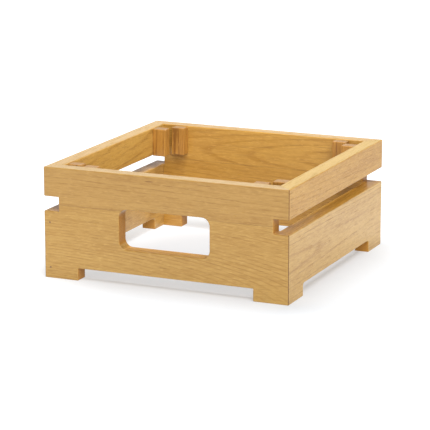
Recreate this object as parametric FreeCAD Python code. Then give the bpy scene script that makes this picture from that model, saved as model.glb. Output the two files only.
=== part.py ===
"""Low square storage frame in oak, open at the top and the bottom.

Two rings of boards stand one above the other with a narrow slot between them at the left and
right. The front and back are full height and hold the two rings together; the slot runs out
through notches in their ends. The boards meet in mitres at the four vertical corners. Arches cut
in the lower edges leave a foot under each corner, and the front has a hand hole. Eight short
battens are glued inside the upper ring, two beside each corner.

Axes: X runs from left to right along the front, Y from front to back and Z up. The origin is on
the floor, under the middle of the frame. All sizes are in millimetres.
"""
import FreeCAD, Part
import math
import os

# The four sides
SIDE = 330.0            # outside length of every side
BOARD = 19.5            # thickness of every board
LOWER_HEIGHT = 86.4     # floor to the top of the left and right lower boards
SLOT_HEIGHT = 18.5      # gap between the lower boards and the rails above them
RAIL_HEIGHT = 37.5      # left and right upper rails
GLUE_LINE = 95.3        # height of the joint between the two staves of the front and back
NOTCH_DEPTH = 20.5      # how far the slot is notched into the ends of the front and back
NOTCH_CORNER = 0.8      # radius in the inner corners of the notches
EASE = 1.2              # radius on the outer arrises

# Arches and feet
ARCH_HEIGHT = 16.0
FOOT_ON_FRONT = 46.5    # foot width along the front and back
FOOT_ON_SIDE = 48.0     # foot width along the left and right sides
FRONT_ARCH_CORNER = 1.0
SIDE_ARCH_CORNER = 4.0

# Hand hole in the front
HOLE_WIDTH = 122.0
HOLE_BOTTOM = 46.5
HOLE_TOP = 97.6
HOLE_CORNER = 10.5

# Battens inside the upper ring
BATTEN_WIDE = 18.5      # section along X
BATTEN_NARROW = 15.0    # section along Y
BATTEN_LENGTH = 37.0
BATTEN_DROP = 0.9       # from the rim down to the batten tops
BATTEN_EASE = 1.0
GAPS_ON_FRONT = {"left": 24.5, "right": 18.5}  # from the inside corners to the front's battens
GAPS_ON_BACK = {"left": 19.0, "right": 20.0}
GAPS_ON_LEFT = {"front": 8.5, "back": 19.5}
GAPS_ON_RIGHT = {"front": 20.5, "back": 20.5}

# Panel pins through the corner mitres
PIN_INSET = 8.0         # from the side faces to the pin axes
PIN_HEIGHTS = (14.0, 72.0)
PIN_LENGTH = 35.0
PIN_POINT = 2.5
PIN_SHANK_RADIUS = 0.9
PIN_HEAD_RADIUS = 1.25
PIN_HEAD_LENGTH = 1.6
PIN_CLEARANCE = 0.05
PIN_SUNK = 2.0          # depth of the heads that are sunk and filled over

HALF = SIDE / 2
INNER = HALF - BOARD
SLOT_TOP = LOWER_HEIGHT + SLOT_HEIGHT
HEIGHT = SLOT_TOP + RAIL_HEIGHT
BEYOND = 10.0           # how far a cut runs past the wood
X_AXIS = FreeCAD.Vector(1, 0, 0)
Y_AXIS = FreeCAD.Vector(0, 1, 0)
Z_AXIS = FreeCAD.Vector(0, 0, 1)


def box(x, y, z):
    """Box between the low and high ends given for each axis."""
    lengths = [high - low for low, high in (x, y, z)]
    return Part.makeBox(*lengths, FreeCAD.Vector(x[0], y[0], z[0]))


def rounded_box(x, y, z, along, radius):
    """Box with its four edges along one axis rounded."""
    blank = box(x, y, z)
    edges = [edge for edge in blank.Edges if abs(edge.tangentAt(0).dot(along)) > 0.5]
    return blank.makeFillet(radius, edges)


def is_arris(solid, edge):
    """True where two faces meet in an outward corner, not an inward corner or a smooth seam."""
    middle = edge.valueAt((edge.FirstParameter + edge.LastParameter) / 2)
    normals = []
    for face in solid.ancestorsOfType(edge, Part.Face):
        normals.append(face.normalAt(*face.Surface.parameter(middle)))
    if len(normals) != 2 or normals[0].dot(normals[1]) > 0.5:
        return False
    probe = middle + (normals[0] - normals[1]) * 0.1
    return not solid.isInside(probe, 0.001, False)


def eased(solid, radius):
    """The solid with every arris rounded."""
    return solid.makeFillet(radius, [edge for edge in solid.Edges if is_arris(solid, edge)])


def slot_tool(side):
    """Through slot of the left (-1) or right (1) side, with the notches at its two ends."""
    x = sorted((side * (HALF - NOTCH_DEPTH), side * (HALF + BEYOND)))
    y = (-HALF - BEYOND, HALF + BEYOND)
    return rounded_box(x, y, (LOWER_HEIGHT, SLOT_TOP), Y_AXIS, NOTCH_CORNER)


def arch_tools():
    """The arches: one cut runs through the front and back, the other through both sides."""
    across = (-HALF - BEYOND, HALF + BEYOND)
    height = (-BEYOND, ARCH_HEIGHT)
    half_front = HALF - FOOT_ON_FRONT
    half_side = HALF - FOOT_ON_SIDE
    front_back = rounded_box((-half_front, half_front), across, height, Y_AXIS, FRONT_ARCH_CORNER)
    left_right = rounded_box(across, (-half_side, half_side), height, X_AXIS, SIDE_ARCH_CORNER)
    return [front_back, left_right]


def hand_hole_tool():
    half_hole = HOLE_WIDTH / 2
    y = (-HALF - BEYOND, -INNER + BEYOND)
    return rounded_box((-half_hole, half_hole), y, (HOLE_BOTTOM, HOLE_TOP), Y_AXIS, HOLE_CORNER)


def four_sides():
    """The four sides as one shape, so that mitres and arrises meet exactly where they join."""
    outside = box((-HALF, HALF), (-HALF, HALF), (0, HEIGHT))
    inside = box((-INNER, INNER), (-INNER, INNER), (-BEYOND, HEIGHT + BEYOND))
    tools = [inside, slot_tool(-1), slot_tool(1), hand_hole_tool()] + arch_tools()
    return eased(outside.cut(tools), EASE)


def mitred_side(sides, quarter_turns):
    """One side between its two mitres: 0 is the front, 1 the right, 2 the back and 3 the left."""
    reach = SIDE
    corners = [
        FreeCAD.Vector(0, 0, -BEYOND),
        FreeCAD.Vector(-reach, -reach, -BEYOND),
        FreeCAD.Vector(reach, -reach, -BEYOND),
    ]
    triangle = Part.Face(Part.makePolygon(corners + corners[:1]))
    wedge = triangle.extrude(Z_AXIS * (HEIGHT + 2 * BEYOND))
    wedge.rotate(FreeCAD.Vector(), Z_AXIS, 90 * quarter_turns)
    return sides.common(wedge)


def split_at_glue_line(side):
    """The lower and upper pieces of one side."""
    reach = (-SIDE, SIDE)
    lower = side.common(box(reach, reach, (-BEYOND, GLUE_LINE)))
    upper = side.common(box(reach, reach, (GLUE_LINE, HEIGHT + BEYOND)))
    return lower, upper


def make_boards():
    """The eight boards of the two rings by name."""
    sides = four_sides()
    names = [
        ("front_lower_stave", "front_upper_stave"),
        ("right_lower_board", "right_upper_rail"),
        ("back_lower_stave", "back_upper_stave"),
        ("left_lower_board", "left_upper_rail"),
    ]
    boards = {}
    for quarter_turns, pair in enumerate(names):
        boards.update(zip(pair, split_at_glue_line(mitred_side(sides, quarter_turns))))
    return boards


def span(wall, depth):
    """Low and high ends along one axis of a batten that reaches from a wall towards the middle."""
    return sorted((wall, math.copysign(abs(wall) - depth, wall)))


def batten(x, y):
    top = HEIGHT - BATTEN_DROP
    return eased(box(x, y, (top - BATTEN_LENGTH, top)), BATTEN_EASE)


def make_battens():
    """The eight battens: one on each board at each corner."""
    battens = {}
    for board, wall, gaps in (("front", -INNER, GAPS_ON_FRONT), ("back", INNER, GAPS_ON_BACK)):
        for place, way in (("left", -1), ("right", 1)):
            x = span(way * (INNER - gaps[place]), BATTEN_WIDE)
            battens[f"{board}_batten_{place}"] = batten(x, span(wall, BATTEN_NARROW))
    for board, wall, gaps in (("left", -INNER, GAPS_ON_LEFT), ("right", INNER, GAPS_ON_RIGHT)):
        for place, way in (("front", -1), ("back", 1)):
            y = span(way * (INNER - gaps[place]), BATTEN_NARROW)
            battens[f"{board}_batten_{place}"] = batten(span(wall, BATTEN_WIDE), y)
    return battens


def pin(head, direction, gap):
    """Panel pin driven in from its head: gap widens it into the hole that it fills."""
    body = Part.makeCylinder(PIN_HEAD_RADIUS + gap, PIN_HEAD_LENGTH, head, direction)
    shank = PIN_LENGTH - PIN_POINT
    radius = PIN_SHANK_RADIUS + gap
    body = body.fuse(Part.makeCylinder(radius, shank, head, direction))
    point = Part.makeCone(radius, 0, PIN_POINT, head + direction * shank, direction)
    return body.fuse(point).removeSplitter()


def corner_pins(side, end, gap):
    """The pins of one corner: side -1 is left, end -1 is front."""
    sunk = 0 if (side, end) == (-1, -1) else PIN_SUNK
    direction = Y_AXIS * -end
    pins = []
    for height in PIN_HEIGHTS:
        head = FreeCAD.Vector(side * (HALF - PIN_INSET), end * (HALF - sunk), height)
        pins.append(pin(head, direction, gap))
    return pins


def make_pins(boards):
    """The pins of the four corners, after their holes are cut in the lower ring."""
    pins = {}
    for end_name, end in (("front", -1), ("back", 1)):
        for side_name, side in (("left", -1), ("right", 1)):
            holes = corner_pins(side, end, PIN_CLEARANCE)
            for name in (f"{end_name}_lower_stave", f"{side_name}_lower_board"):
                boards[name] = boards[name].cut(holes)
            pins[f"{end_name}_{side_name}_pins"] = Part.Compound(corner_pins(side, end, 0))
    return pins


def main():
    os.makedirs("parts", exist_ok=True)
    boards = make_boards()
    pins = make_pins(boards)
    nodes = {**boards, **make_battens(), **pins}
    for name, shape in nodes.items():
        shape.exportStep(f"parts/{name}.step")
        print(name, len(shape.Solids), "solids", round(shape.Volume), "mm3", shape.isValid())


main()
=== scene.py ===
"""Looks for a low square storage frame in oiled oak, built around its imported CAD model.

Every visible piece is a CAD node with a procedural material. Each board and batten is cut from
its own log: growth rings, pores, rays and streaks are worked out in three dimensions, so the
grain runs along the piece and its cut ends show end grain. Lengths are in metres.
"""
import math
from dataclasses import dataclass, replace

import bpy
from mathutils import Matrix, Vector


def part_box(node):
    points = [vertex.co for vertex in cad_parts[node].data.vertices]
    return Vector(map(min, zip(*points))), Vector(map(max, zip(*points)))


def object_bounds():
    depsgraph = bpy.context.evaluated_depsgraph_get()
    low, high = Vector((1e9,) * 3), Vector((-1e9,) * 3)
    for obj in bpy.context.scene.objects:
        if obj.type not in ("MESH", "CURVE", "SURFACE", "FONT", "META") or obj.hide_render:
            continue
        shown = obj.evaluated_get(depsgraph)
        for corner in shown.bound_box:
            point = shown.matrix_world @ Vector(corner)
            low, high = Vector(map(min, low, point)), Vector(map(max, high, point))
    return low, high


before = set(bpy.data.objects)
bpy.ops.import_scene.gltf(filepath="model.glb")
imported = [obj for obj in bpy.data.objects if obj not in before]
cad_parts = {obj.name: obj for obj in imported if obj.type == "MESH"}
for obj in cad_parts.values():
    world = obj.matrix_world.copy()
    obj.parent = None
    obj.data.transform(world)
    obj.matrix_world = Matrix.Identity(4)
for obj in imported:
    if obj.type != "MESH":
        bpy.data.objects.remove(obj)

CAD_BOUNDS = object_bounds()
HALF_SIDE = CAD_BOUNDS[1].x

# Camera: the direction it looks from, its distance and what it looks at
CAMERA_AZIMUTH = math.radians(23.78)
CAMERA_ELEVATION = math.radians(13.47)
CAMERA_DISTANCE = 2.80
CAMERA_TARGET = Vector((-0.0041, 0.0, 0.0597))
CAMERA_LENS_MM = 181.4
CAMERA_SENSOR_MM = 36.0
CAMERA_CLIP_END = 100.0

# Floor: a glow of its own keeps it white, and is weaker near the frame so that shadows show
FLOOR_SIZE = 40.0
FLOOR_COLOUR = (0.41, 0.43, 0.455, 1.0)
FLOOR_ROUGHNESS = 0.9
FLOOR_SHINE = 0.1
FLOOR_GLOW_NEAR = 0.45
FLOOR_GLOW_FAR = 0.85
FLOOR_GLOW_INSIDE = -0.16           # added to the glow on the floor inside the frame
INSIDE_REACH = 0.85                 # share of the half side where that starts to fade out
GLOW_CENTRE = (0.06, -0.04, 0.0)
GLOW_START = 0.17                   # the glow rises between these distances from its centre
GLOW_END = 0.34

# Lights
WALL_STRENGTH = 1.4                 # white walls all round the floor, under a dark ceiling
WALL_TOP = math.radians(20)
WALL_FADE = 0.15                    # share of their height, up and down from the top, to fade
BACKDROP_STRENGTH = 1.0             # the walls as the camera sees them
KEY_STRENGTH = 2.65
KEY_ANGLE = math.radians(40)
KEY_ELEVATION = math.radians(45)
KEY_AZIMUTH = math.radians(40)      # from the front towards the right
LAMP_POWER = 5.9
LAMP_SIZE = 0.40
LAMP_HEIGHT = 0.90

# Oak, as linear colours
OAK_PALE = (0.52, 0.30, 0.082)
OAK_DEEP = (0.40, 0.205, 0.045)
OAK_PORE = (0.22, 0.10, 0.024)
OAK_RAY = (0.62, 0.38, 0.12)
OAK_END = (0.38, 0.165, 0.030)
OAK_MARK = (0.20, 0.085, 0.018)
OAK_JOINT = (0.10, 0.045, 0.015)
BATTEN_TINT = (0.98, 0.84, 0.62)
BATTEN_END = (0.33, 0.175, 0.052)

# How far each part of the grain moves the colour from pale (0) to deep (1)
BASE_TONE = 0.40
FIBRE_TONE = 1.5
STREAK_TONE = 0.8
BROAD_TONE = 0.8
# Painted light and shade on the edges, as shifts of that same tone
RIM_PAINTED_SHEEN = 0.3                  # painted sheen: how much paler the edges of the top ring are, for the light they catch
STAVE_PAINTED_LIGHT = 0.15               # painted light: the same for the edges of the front's lower stave, lifting the shade on the hand hole's ledge
LEDGE_PAINTED_SHADE = -0.15              # painted shade: the other lower edges, the ledges in the notches and slots, are deeper in colour instead

# How strongly each of these covers the wood under it
PORE_SHOW = 0.38
RAY_SHOW = 0.35
END_SHOW = 0.72
GLUE_SHOW = 0.45
MARK_SHOW = 0.8

# Oak, its shapes
RING_WIDTH = 0.0036
SLOW_BEND = 0.0045                  # how far the two waves in the trunk bend the rings
SMALL_BEND = 0.0007
EARLY_RISE = (0.0, 0.12)            # shares of a ring over which the early wood starts
EARLY_FALL = (0.42, 0.16)           # and those over which it has gone and is still whole
YEAR_SPREAD = (0.40, 0.66)          # noise between a year with weak early wood and a strong one
WEAKEST_YEAR = 0.3
PORE_THRESHOLD = 0.63
PORE_CROWDING = -0.12               # lower threshold, so more pores, in the early wood
PORE_FADE = 0.07
RAY_SPREAD = (0.58, 0.72)
STRIPE_FADE = 0.15
MARK_LENGTH = 0.014
MARK_HEIGHT = 0.0019
MARK_FADE = (1.2, 0.2)              # squared distances, in half sizes, where it ends and is whole
JOINT_HALF_WIDTH = 0.00035
MITRE_HALF_WIDTH = 0.0009
LINE_CORE = 0.3                     # share of a line's half width that is fully dark
CORNER_OPENING = 0.0012             # how deep the mitre's hairline runs in from the outer corner
ARRIS = (0.80, 0.97)                # a face tilted less than this looks like the face beside it

# Oak, its surface
OIL_SHINE = 0.5
RAW_SHINE = 0.1                     # sawn ends and ledges carry little oil
OAK_ROUGHNESS = 0.32
PORE_ROUGHNESS = 0.2
FIBRE_ROUGHNESS = 0.25
FIBRE_RELIEF = 0.5                  # heights beside the depth of a pore, which is 1
JOINT_RELIEF = 2.0
BUMP_STRENGTH = 0.35
BUMP_DISTANCE = 0.0002

# Battens: the pith is this far from the piece, and each has a seed of its own
BATTEN_PITH_ASIDE = 0.03
BATTEN_PITH_AHEAD = 0.04
BATTEN_LEAN = 0.04
BATTEN_STRIPES = 170.0
BATTEN_STRIPE_DEPTH = 0.8
BATTEN_SEED = 101.0
BATTEN_SEED_STEP = 13.0

# Pins, darkened by the oak
PIN_DARK = (0.19, 0.10, 0.04)
PIN_PALE = (0.31, 0.18, 0.09)
PIN_SPOTS = 1800.0                  # spots per metre
PIN_SPREAD = (0.3, 0.7)
PIN_ROUGHNESS = (0.45, 0.7)
PIN_METAL = 0.3

AXES = {"X": 0, "Y": 1, "Z": 2}


@dataclass
class Grain:
    """Noise stretched along the grain, by its changes per metre along and across the grain.

    Shift keeps it apart from the other noises. Detail and roughness set how fine it gets.
    """
    along: float
    across: float
    shift: float
    detail: float = 2.0
    roughness: float = 0.5


SLOW_WAVE = Grain(3.0, 11.0, 3.1)
SMALL_WAVE = Grain(12.0, 60.0, 7.7)
YEARS = Grain(2.0, 110.0, 12.3)
PORES = Grain(32.0, 1200.0, 21.5, detail=1.0)
RAYS = Grain(130.0, 520.0, 33.9, detail=1.0)
FIBRES = Grain(85.0, 560.0, 41.2, detail=3.0, roughness=0.65)
STREAKS = Grain(7.0, 190.0, 47.4, roughness=0.6)
BROAD_BANDS = Grain(2.5, 24.0, 55.5)


@dataclass
class Log:
    """How a piece was cut from its log, the log's own look, and the painted light and shade on it.

    The pith's place is given in the piece's width and thickness, and lean is how fast it moves
    through the thickness along the piece. Tint multiplies the oak's colours, except on cut
    ends; it is partly the board's own tone and partly painted light and shade. Rings is how
    strongly the early wood shows. Stripes are counted per metre. An edge is a face at the end
    of the width, such as the rim: two fields, a shift of its tone and a tint of its own, paint
    light and shade on it (a painted sheen on the rim, lifted shade on the hand hole's ledge,
    painted shade on the lower ledges), and raw_edges leaves it without oil. Shine is that of
    the oiled faces. Mark is the place of a short dark streak, along and across the grain.
    """
    pith: tuple
    lean: float
    seed: float
    tint: tuple = (1.0, 1.0, 1.0)
    rings: float = 0.6
    stripes: float = STREAKS.across
    stripe_depth: float = 0.0
    edge_light_and_shade: float = 0.0
    edge_lighting_tint: tuple = ()
    raw_edges: bool = False
    shine: float = OIL_SHINE
    end_colour: tuple = OAK_END
    mark: tuple = ()


# Board tints are partly each board's own tone and partly painted light and shade: darker on the
# front, lighter on the faces inside the frame, and less blue on the right rail, which catches a
# sheen. The edge tones paint a sheen on the rim, lift the shade on the front's hand hole and shade
# the lower ledges.
BACK_LOG = Log(pith=(0.112, 0.1023), lean=-0.05, seed=29.0)
STAVE_LOGS = {
    "front_upper_stave": Log(
        pith=(0.30, 0.10), lean=0.02, seed=1.0, tint=(0.84, 0.83, 0.78), rings=0.3,
        edge_light_and_shade=RIM_PAINTED_SHEEN, edge_lighting_tint=(0.92, 0.98, 1.0), mark=(-0.0195, 0.1360),
    ),
    "front_lower_stave": Log(
        pith=(-0.020, -0.201), lean=0.218, seed=17.0, tint=(0.92, 0.94, 0.87),
        edge_light_and_shade=STAVE_PAINTED_LIGHT, edge_lighting_tint=(1.16, 1.14, 1.30), raw_edges=True,
    ),
    "back_upper_stave": replace(
        BACK_LOG, tint=(1.08, 1.03, 0.80), edge_light_and_shade=RIM_PAINTED_SHEEN, edge_lighting_tint=(1.0, 1.0, 0.78)
    ),
    "back_lower_stave": replace(
        BACK_LOG, tint=(1.03, 0.96, 0.70), edge_light_and_shade=LEDGE_PAINTED_SHADE, raw_edges=True
    ),
}
SIDE_LOGS = {
    "left_upper_rail": Log(
        pith=(0.16, -0.30), lean=0.03, seed=43.0, tint=(1.10, 1.10, 0.94),
        edge_light_and_shade=RIM_PAINTED_SHEEN, edge_lighting_tint=(0.97, 1.00, 0.84),
    ),
    "left_lower_board": Log(
        pith=(0.03, -0.26), lean=0.05, seed=57.0, tint=(1.04, 1.07, 1.12),
        edge_light_and_shade=LEDGE_PAINTED_SHADE, raw_edges=True,
    ),
    "right_upper_rail": Log(
        pith=(0.20, 0.29), lean=0.03, seed=61.0, tint=(1.00, 0.95, 0.68), rings=0.35,
        edge_light_and_shade=RIM_PAINTED_SHEEN, edge_lighting_tint=(1.00, 1.08, 0.76), shine=0.25,
    ),
    "right_lower_board": Log(
        pith=(0.049, 0.135), lean=0.0135, seed=73.0, tint=(1.04, 1.08, 1.0),
        edge_light_and_shade=LEDGE_PAINTED_SHADE, edge_lighting_tint=(1.25, 1.20, 0.88), raw_edges=True,
    ),
}


class Nodes:
    """Adds nodes to one shader tree. A value is a number, a tuple or another node's socket."""

    def __init__(self, tree):
        self.tree = tree

    def add(self, kind, **settings):
        node = self.tree.nodes.new(kind)
        for name, value in settings.items():
            setattr(node, name, value)
        return node

    def feed(self, socket, value):
        if isinstance(value, bpy.types.NodeSocket):
            self.tree.links.new(value, socket)
        else:
            socket.default_value = value

    def math(self, operation, *values):
        node = self.add("ShaderNodeMath", operation=operation)
        for socket, value in zip(node.inputs, values):
            self.feed(socket, value)
        return node.outputs[0]

    def centred(self, value):
        """Noise moved down by its middle value, so that it is as often below 0 as above."""
        return self.math("SUBTRACT", value, 0.5)

    def sum_of_squares(self, first, second):
        return self.math("ADD", self.math("POWER", first, 2.0), self.math("POWER", second, 2.0))

    def vector(self, x, y, z):
        node = self.add("ShaderNodeCombineXYZ")
        for socket, value in zip(node.inputs, (x, y, z)):
            self.feed(socket, value)
        return node.outputs[0]

    def split(self, vector):
        node = self.add("ShaderNodeSeparateXYZ")
        self.feed(node.inputs[0], vector)
        return node.outputs

    def noise(self, vector, detail=2.0, roughness=0.5):
        node = self.add("ShaderNodeTexNoise")
        self.feed(node.inputs["Vector"], vector)
        node.inputs["Scale"].default_value = 1.0
        node.inputs["Detail"].default_value = detail
        node.inputs["Roughness"].default_value = roughness
        return node.outputs[0]

    def step(self, value, start, end, low=0.0, high=1.0):
        """Smooth rise from low at start to high at end."""
        node = self.add("ShaderNodeMapRange", interpolation_type="SMOOTHSTEP")
        for socket, given in zip(node.inputs, (value, start, end, low, high)):
            self.feed(socket, given)
        return node.outputs[0]

    def mix(self, factor, first, second, blend="MIX"):
        node = self.add("ShaderNodeMix", data_type="RGBA", blend_type=blend)
        self.feed(node.inputs["Factor"], factor)
        self.feed(node.inputs["A"], first if not isinstance(first, tuple) else (*first, 1.0))
        self.feed(node.inputs["B"], second if not isinstance(second, tuple) else (*second, 1.0))
        return node.outputs["Result"]


def direction(azimuth, elevation):
    """Unit vector from the object towards a camera or light in front of it."""
    level = math.cos(elevation)
    return Vector((math.sin(azimuth) * level, -math.cos(azimuth) * level, math.sin(elevation)))


def aim(thing, towards):
    """Turns a camera or light to look back along a direction from the object."""
    thing.rotation_euler = towards.to_track_quat("Z", "Y").to_euler()


def place(thing):
    bpy.context.scene.collection.objects.link(thing)


def add_camera():
    data = bpy.data.cameras.new("camera")
    data.lens = CAMERA_LENS_MM
    data.sensor_width = CAMERA_SENSOR_MM
    data.clip_end = CAMERA_CLIP_END
    camera = bpy.data.objects.new("camera", data)
    place(camera)
    towards = direction(CAMERA_AZIMUTH, CAMERA_ELEVATION)
    camera.location = CAMERA_TARGET + towards * CAMERA_DISTANCE
    aim(camera, towards)
    bpy.context.scene.camera = camera


def floor_glow(nodes):
    """Strength of the floor's glow: weaker near the frame, and weakest inside it."""
    point = nodes.add("ShaderNodeTexCoord").outputs["Object"]
    distance = nodes.add("ShaderNodeVectorMath", operation="DISTANCE")
    nodes.feed(distance.inputs[0], point)
    distance.inputs[1].default_value = GLOW_CENTRE
    away = distance.outputs["Value"]
    glow = nodes.step(away, GLOW_START, GLOW_END, FLOOR_GLOW_NEAR, FLOOR_GLOW_FAR)
    x, y, _ = nodes.split(point)
    reach = nodes.math("MAXIMUM", nodes.math("ABSOLUTE", x), nodes.math("ABSOLUTE", y))
    inside = nodes.step(reach, HALF_SIDE * INSIDE_REACH, HALF_SIDE, FLOOR_GLOW_INSIDE, 0.0)
    return nodes.math("ADD", glow, inside)


def floor_material():
    material = bpy.data.materials.new("floor_white")
    material.use_nodes = True
    nodes = Nodes(material.node_tree)
    shader = material.node_tree.nodes["Principled BSDF"]
    shader.inputs["Base Color"].default_value = FLOOR_COLOUR
    shader.inputs["Roughness"].default_value = FLOOR_ROUGHNESS
    shader.inputs["Specular IOR Level"].default_value = FLOOR_SHINE
    shader.inputs["Emission Color"].default_value = (1, 1, 1, 1)
    nodes.feed(shader.inputs["Emission Strength"], floor_glow(nodes))
    return material


def add_floor():
    half = FLOOR_SIZE / 2
    mesh = bpy.data.meshes.new("floor")
    corners = [(-half, -half, 0), (half, -half, 0), (half, half, 0), (-half, half, 0)]
    mesh.from_pydata(corners, [], [(0, 1, 2, 3)])
    mesh.materials.append(floor_material())
    floor = bpy.data.objects.new("floor", mesh)
    place(floor)


def add_key_light():
    """A broad soft light from the front and right."""
    data = bpy.data.lights.new("key", "SUN")
    data.energy = KEY_STRENGTH
    data.angle = KEY_ANGLE
    light = bpy.data.objects.new("key", data)
    aim(light, direction(KEY_AZIMUTH, KEY_ELEVATION))
    place(light)


def add_overhead_lamp():
    """A round soft lamp straight above, which reaches down inside the frame."""
    data = bpy.data.lights.new("overhead", "AREA")
    data.shape = "DISK"
    data.size = LAMP_SIZE
    data.energy = LAMP_POWER
    lamp = bpy.data.objects.new("overhead", data)
    lamp.location = (0.0, 0.0, LAMP_HEIGHT)
    lamp.visible_camera = False
    place(lamp)


def add_walls():
    """The world: bright up to the top of the walls, and plain white where the camera sees it."""
    world = bpy.data.worlds.new("studio")
    world.use_nodes = True
    bpy.context.scene.world = world
    nodes = Nodes(world.node_tree)
    background = world.node_tree.nodes["Background"]
    rise = nodes.split(nodes.add("ShaderNodeTexCoord").outputs["Generated"])[2]
    top = math.sin(WALL_TOP)
    walls = nodes.step(rise, top * (1 + WALL_FADE), top * (1 - WALL_FADE), 0.0, WALL_STRENGTH)
    seen = nodes.add("ShaderNodeLightPath").outputs["Is Camera Ray"]
    strength = nodes.step(seen, 0.0, 1.0, walls, BACKDROP_STRENGTH)
    nodes.feed(background.inputs["Strength"], strength)
    background.inputs["Color"].default_value = (1, 1, 1, 1)


def set_colour_management():
    bpy.context.scene.view_settings.view_transform = "Standard"


def add_sockets(tree, way, names, kind):
    for name in names:
        tree.interface.new_socket(name, in_out=way, socket_type=kind)


class Oak:
    """The steps that turn a point in a board's own axes into oak, inside the node group."""

    def __init__(self, nodes, given):
        self.nodes = nodes
        self.given = given

    def grain(self, kind, across=None):
        """One noise at this point. Across, if given, replaces its changes per metre across."""
        nodes = self.nodes
        if across is None:
            across = kind.across
        start = nodes.math("ADD", self.given["Seed"], kind.shift)
        point = nodes.vector(
            nodes.math("MULTIPLY_ADD", self.given["Along"], kind.along, start),
            nodes.math("MULTIPLY_ADD", self.given["Across"], across, start),
            nodes.math("MULTIPLY", self.given["Depth"], across),
        )
        return nodes.noise(point, kind.detail, kind.roughness)

    def wave(self, kind, size):
        return self.nodes.math("MULTIPLY", self.nodes.centred(self.grain(kind)), size)

    def ring(self):
        """Place in the year's ring, 0 to 1: the distance from the pith, bent by slow waves."""
        nodes = self.nodes
        aside = nodes.math("SUBTRACT", self.given["Across"], self.given["Pith across"])
        below = nodes.math("SUBTRACT", self.given["Depth"], self.given["Pith depth"])
        below = nodes.math("MULTIPLY_ADD", self.given["Along"], self.given["Lean"], below)
        radius = nodes.math("SQRT", nodes.sum_of_squares(aside, below))
        waves = nodes.math("ADD", self.wave(SLOW_WAVE, SLOW_BEND), self.wave(SMALL_WAVE, SMALL_BEND))
        return nodes.math("FRACT", nodes.math("DIVIDE", nodes.math("ADD", radius, waves), RING_WIDTH))

    def early_wood(self):
        """The narrow porous band at the start of each ring, which is stronger in some years."""
        nodes = self.nodes
        ring = self.ring()
        rise, fall = nodes.step(ring, *EARLY_RISE), nodes.step(ring, *EARLY_FALL)
        band = nodes.math("MULTIPLY", rise, fall)
        strength = nodes.step(self.grain(YEARS), *YEAR_SPREAD, WEAKEST_YEAR, 1.0)
        return nodes.math("MULTIPLY", band, strength)

    def pores(self, early):
        """1 in the dark dashes, which are close together in the early wood and sparse elsewhere."""
        nodes = self.nodes
        fine = self.grain(PORES)
        threshold = nodes.math("MULTIPLY_ADD", early, PORE_CROWDING, PORE_THRESHOLD)
        return nodes.step(nodes.math("SUBTRACT", fine, threshold), 0.0, PORE_FADE)

    def wood(self, early, fibre, streak):
        """The plain wood between pale and deep, with the darker stripes that some logs have."""
        nodes = self.nodes
        broad = nodes.centred(self.grain(BROAD_BANDS))
        # The painted light and shade of the edges shifts the tone here.
        tone = nodes.math("SUBTRACT", BASE_TONE, self.given["Edge light and shade"])
        tone = nodes.math("MULTIPLY_ADD", fibre, FIBRE_TONE, tone)
        tone = nodes.math("MULTIPLY_ADD", streak, STREAK_TONE, tone)
        tone = nodes.math("MULTIPLY_ADD", broad, BROAD_TONE, tone)
        tone = nodes.math("MULTIPLY_ADD", early, self.given["Rings"], tone)
        colour = nodes.mix(nodes.step(tone, 0.0, 1.0), OAK_PALE, OAK_DEEP)
        stripe = nodes.step(streak, 0.0, STRIPE_FADE)
        stripe = nodes.math("MULTIPLY", stripe, self.given["Stripe depth"])
        return nodes.mix(stripe, colour, OAK_PORE)

    def colour(self, wood, pore, fleck):
        """The wood with its pores and rays, tinted, and then the end grain, mark and joints."""
        nodes = self.nodes
        colour = nodes.mix(nodes.math("MULTIPLY", pore, PORE_SHOW), wood, OAK_PORE)
        colour = nodes.mix(nodes.math("MULTIPLY", fleck, RAY_SHOW), colour, OAK_RAY)
        # The boards' tints are partly their own tone and partly painted light and shade.
        colour = nodes.mix(1.0, colour, self.given["Tint"], "MULTIPLY")
        end = nodes.math("MULTIPLY", self.given["End"], END_SHOW)
        colour = nodes.mix(end, colour, self.given["End colour"])
        colour = nodes.mix(self.given["Mark"], colour, OAK_MARK)
        return nodes.mix(self.given["Joint"], colour, OAK_JOINT)

    def roughness(self, pore, fibre):
        rough = self.nodes.math("MULTIPLY_ADD", pore, PORE_ROUGHNESS, OAK_ROUGHNESS)
        return self.nodes.math("MULTIPLY_ADD", fibre, FIBRE_ROUGHNESS, rough)

    def height(self, pore, fibre):
        nodes = self.nodes
        relief = nodes.math("MULTIPLY", fibre, FIBRE_RELIEF)
        relief = nodes.math("MULTIPLY_ADD", pore, -1.0, relief)
        joint = nodes.math("MULTIPLY", self.given["Joint"], JOINT_RELIEF)
        return nodes.math("SUBTRACT", relief, joint)


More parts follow.
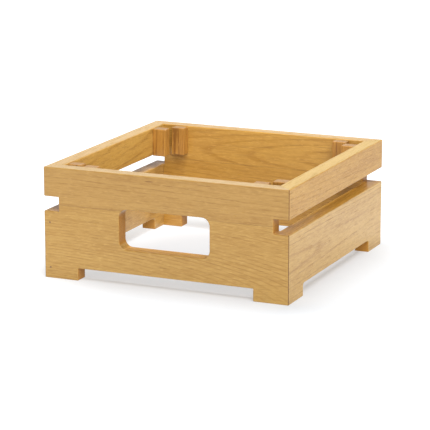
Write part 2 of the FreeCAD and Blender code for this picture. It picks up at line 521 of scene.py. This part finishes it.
def oak_group():
    """Node group that turns a point in a board's own axes into oak.

    Along runs with the grain, Across is over the board's width and Depth is through its
    thickness. Pith gives the log's middle line, and Lean tilts it so that the rings come to
    pointed arches on the board's face. End is 1 on a cut end and 0 along the grain. Joint and
    Mark are the strengths of the dark joint lines and of the short dark streak.
    """
    tree = bpy.data.node_groups.new("oak", "ShaderNodeTree")
    numbers = ("Along", "Across", "Depth", "Pith across", "Pith depth", "Lean", "Seed")
    numbers += ("Rings", "Stripes", "Stripe depth", "Edge light and shade", "End", "Joint", "Mark")
    add_sockets(tree, "INPUT", numbers, "NodeSocketFloat")
    add_sockets(tree, "INPUT", ("Tint", "End colour"), "NodeSocketColor")
    add_sockets(tree, "OUTPUT", ("Color",), "NodeSocketColor")
    add_sockets(tree, "OUTPUT", ("Roughness", "Height"), "NodeSocketFloat")
    nodes = Nodes(tree)
    given = nodes.add("NodeGroupInput").outputs
    result = nodes.add("NodeGroupOutput").inputs
    oak = Oak(nodes, given)

    early = oak.early_wood()
    pore = oak.pores(early)
    fleck = nodes.step(oak.grain(RAYS), *RAY_SPREAD)
    fibre = nodes.centred(oak.grain(FIBRES))
    streak = nodes.centred(oak.grain(STREAKS, given["Stripes"]))
    wood = oak.wood(early, fibre, streak)
    nodes.feed(result["Color"], oak.colour(wood, pore, fleck))
    nodes.feed(result["Roughness"], oak.roughness(pore, fibre))
    nodes.feed(result["Height"], oak.height(pore, fibre))
    return tree


def mitre_line(nodes, x, y):
    """1 in the hairline down each outer corner, where the mitre comes to the surface."""
    reach_x, reach_y = nodes.math("ABSOLUTE", x), nodes.math("ABSOLUTE", y)
    gap = nodes.math("ABSOLUTE", nodes.math("SUBTRACT", reach_x, reach_y))
    line = nodes.step(gap, MITRE_HALF_WIDTH, MITRE_HALF_WIDTH * LINE_CORE)
    outside = nodes.step(reach_x, HALF_SIDE - CORNER_OPENING * 2, HALF_SIDE - CORNER_OPENING)
    return nodes.math("MULTIPLY", line, outside)


def glue_line(nodes, z, height):
    gap = nodes.math("ABSOLUTE", nodes.math("SUBTRACT", z, height))
    return nodes.step(gap, JOINT_HALF_WIDTH, JOINT_HALF_WIDTH * LINE_CORE, 0.0, GLUE_SHOW)


def dark_mark(nodes, along, across, centre):
    """A short dark streak of the wood, a slim ellipse along the grain."""
    reach = nodes.math("DIVIDE", nodes.math("SUBTRACT", along, centre[0]), MARK_LENGTH / 2)
    rise = nodes.math("DIVIDE", nodes.math("SUBTRACT", across, centre[1]), MARK_HEIGHT / 2)
    return nodes.step(nodes.sum_of_squares(reach, rise), *MARK_FADE, 0.0, MARK_SHOW)


def set_log(oak, log):
    """Gives the oak group the numbers of one log."""
    numbers = {
        "Pith across": log.pith[0],
        "Pith depth": log.pith[1],
        "Lean": log.lean,
        "Seed": log.seed,
        "Rings": log.rings,
        "Stripes": log.stripes,
        "Stripe depth": log.stripe_depth,
    }
    for name, number in numbers.items():
        oak.inputs[name].default_value = number
    oak.inputs["End colour"].default_value = (*log.end_colour, 1.0)


def set_edges(nodes, oak, edge, log):
    """Painted light and shade on the piece's edges, beside the tone of its faces, and the piece's
    tint, itself partly painted light and shade.
    """
    nodes.feed(oak.inputs["Edge light and shade"], nodes.math("MULTIPLY", edge, log.edge_light_and_shade))
    tint = nodes.mix(edge, log.tint, log.edge_lighting_tint) if log.edge_lighting_tint else (*log.tint, 1.0)
    nodes.feed(oak.inputs["Tint"], tint)


def set_joints(nodes, oak, point, mitred, glued_at):
    """The lines where the piece meets the next one: its mitres and its glued edge."""
    joint = mitre_line(nodes, point[0], point[1]) if mitred else 0.0
    if glued_at is not None:
        joint = nodes.math("MAXIMUM", joint, glue_line(nodes, point[2], glued_at))
    nodes.feed(oak.inputs["Joint"], joint)


def add_bump(nodes, height, normal):
    bump = nodes.add("ShaderNodeBump")
    bump.inputs["Strength"].default_value = BUMP_STRENGTH
    bump.inputs["Distance"].default_value = BUMP_DISTANCE
    nodes.feed(bump.inputs["Height"], height)
    nodes.feed(normal, bump.outputs["Normal"])


def oak_material(name, group, grain, width, log, mitred=False, glued_at=None):
    """Oak for one piece: grain and width name the axes that those run along."""
    material = bpy.data.materials.new(name)
    material.use_nodes = True
    nodes = Nodes(material.node_tree)
    shader = material.node_tree.nodes["Principled BSDF"].inputs
    coordinates = nodes.add("ShaderNodeTexCoord").outputs
    point = nodes.split(coordinates["Object"])
    normal = nodes.split(coordinates["Normal"])
    thickness = ({"X", "Y", "Z"} - {grain, width}).pop()
    along, across, depth = (point[AXES[axis]] for axis in (grain, width, thickness))
    end = nodes.step(nodes.math("ABSOLUTE", normal[AXES[grain]]), *ARRIS)
    edge = nodes.step(nodes.math("ABSOLUTE", normal[AXES[width]]), *ARRIS)

    oak = nodes.add("ShaderNodeGroup", node_tree=group)
    for socket, value in (("Along", along), ("Across", across), ("Depth", depth), ("End", end)):
        nodes.feed(oak.inputs[socket], value)
    set_log(oak, log)
    set_edges(nodes, oak, edge, log)
    set_joints(nodes, oak, point, mitred, glued_at)
    if log.mark:
        nodes.feed(oak.inputs["Mark"], dark_mark(nodes, along, across, log.mark))

    raw = nodes.math("MAXIMUM", end, edge) if log.raw_edges else end
    nodes.feed(shader["Base Color"], oak.outputs["Color"])
    nodes.feed(shader["Roughness"], oak.outputs["Roughness"])
    nodes.feed(shader["Specular IOR Level"], nodes.step(raw, 0.0, 1.0, log.shine, RAW_SHINE))
    add_bump(nodes, oak.outputs["Height"], shader["Normal"])
    return material


def pin_material():
    material = bpy.data.materials.new("pin_steel")
    material.use_nodes = True
    nodes = Nodes(material.node_tree)
    shader = material.node_tree.nodes["Principled BSDF"].inputs
    scaled = nodes.add("ShaderNodeVectorMath", operation="SCALE")
    nodes.feed(scaled.inputs[0], nodes.add("ShaderNodeTexCoord").outputs["Object"])
    scaled.inputs["Scale"].default_value = PIN_SPOTS
    spots = nodes.noise(scaled.outputs[0], 3.0)
    nodes.feed(shader["Base Color"], nodes.mix(spots, PIN_DARK, PIN_PALE))
    nodes.feed(shader["Roughness"], nodes.step(spots, *PIN_SPREAD, *PIN_ROUGHNESS))
    shader["Metallic"].default_value = PIN_METAL
    return material


def dress(node, material):
    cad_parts[node].data.materials.clear()
    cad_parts[node].data.materials.append(material)


def dress_boards(group):
    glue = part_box("front_lower_stave")[1].z
    for node, log in STAVE_LOGS.items():
        dress(node, oak_material(node, group, "X", "Z", log, True, glue))
    for node, log in SIDE_LOGS.items():
        dress(node, oak_material(node, group, "Y", "Z", log, True))


def batten_log(node, seed):
    """A log whose pith lies outside the batten, to its right and in front of it."""
    low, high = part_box(node)
    return Log(
        pith=(high.x + BATTEN_PITH_ASIDE, low.y - BATTEN_PITH_AHEAD), lean=BATTEN_LEAN, seed=seed,
        tint=BATTEN_TINT, stripes=BATTEN_STRIPES, stripe_depth=BATTEN_STRIPE_DEPTH,
        end_colour=BATTEN_END,
    )


def dress_battens(group):
    """Battens are tinted darker and more strongly striped, each from a place of its own."""
    battens = sorted(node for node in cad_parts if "batten" in node)
    for count, node in enumerate(battens):
        log = batten_log(node, BATTEN_SEED + BATTEN_SEED_STEP * count)
        dress(node, oak_material(node, group, "Z", "X", log))


def dress_pins():
    material = pin_material()
    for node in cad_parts:
        if node.endswith("_pins"):
            dress(node, material)


add_camera()
add_floor()
add_key_light()
add_overhead_lamp()
add_walls()
set_colour_management()
OAK = oak_group()
dress_boards(OAK)
dress_battens(OAK)
dress_pins()
